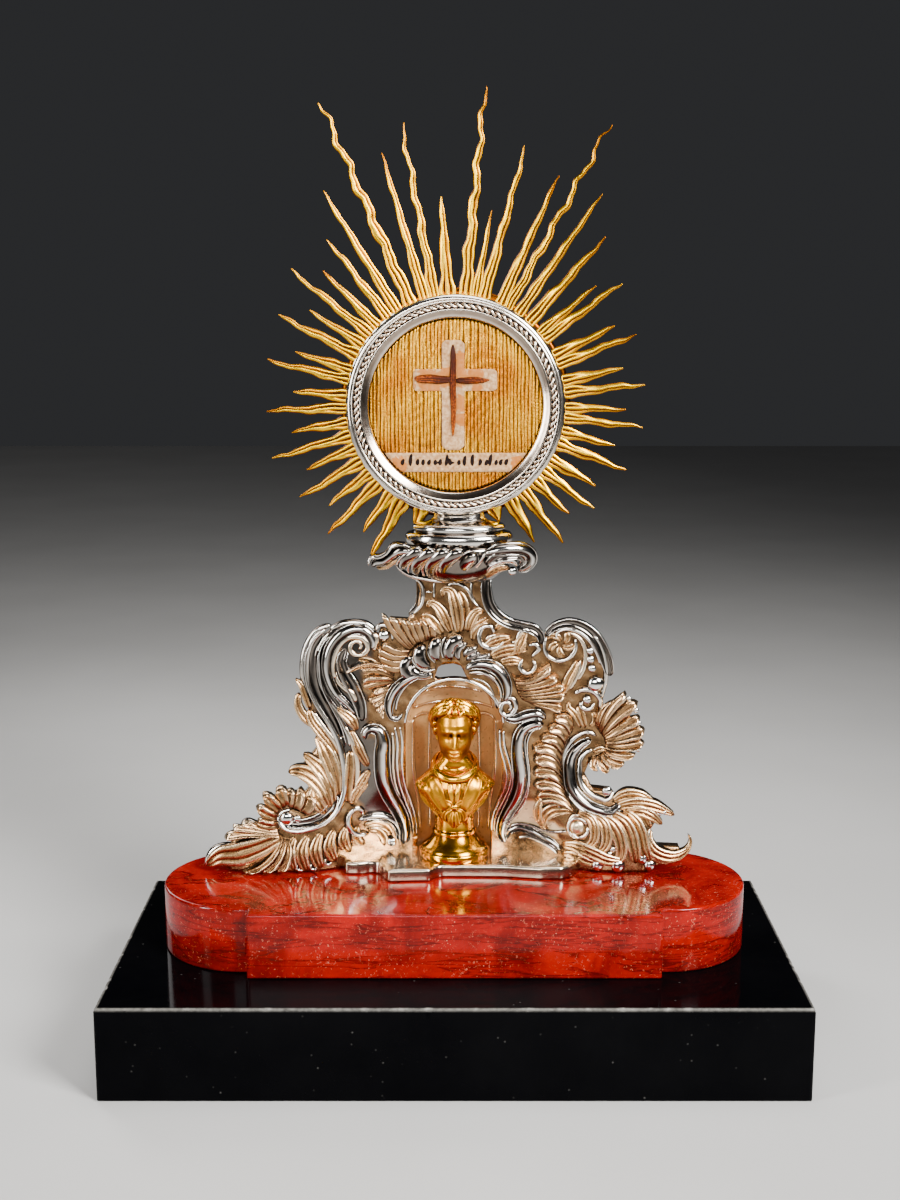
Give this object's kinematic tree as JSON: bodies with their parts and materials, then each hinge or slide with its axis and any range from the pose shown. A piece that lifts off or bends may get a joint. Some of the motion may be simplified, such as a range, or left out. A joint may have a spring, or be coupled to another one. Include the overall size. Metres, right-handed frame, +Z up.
{
  "type": "display reliquary",
  "caption": "Rococo silver stand with a niche and a gilt bust, carrying a round relic case in a glory of gilt rays, on a red marble plinth and black marble slab.",
  "frame": {"origin": "centre of the black slab's underside, on the surface it stands on", "axes": "+Z up, the front faces -Y, +X to the viewer's right when looking at the front"},
  "size_m": [0.33, 0.1656, 0.4623],
  "materials": {
    "black_marble": "polished near-black marble with sparse pale flecks and a worn arris",
    "red_marble": "polished deep red marble with pale fossil flecks and dark wavy veins",
    "silver": "cast and chased silver, burnished on the scrolls, matt and toned in the recesses",
    "gold_thread": "cloth covered with laid gold thread in upright cords",
    "waxed_paper": "aged pinkish paper with orange wax stains and brown ink strokes",
    "relic_wood": "dark brown splintered wood",
    "gilt": "fire-gilt metal, bright with brown toning in the grooves"
  },
  "bodies": {
    "root": {"black_marble_slab": "black_marble", "red_marble_plinth": "red_marble", "silver_foot_plate": "silver", "silver_stand": "silver", "theca_frame": "silver", "gold_thread_ground": "gold_thread", "paper_cross": "waxed_paper", "label_strip": "waxed_paper", "splinter_upright": "relic_wood", "splinter_left": "relic_wood", "splinter_right": "relic_wood", "gilt_glory": "gilt", "gilt_bust": "gilt"}
  },
  "joints": []
}
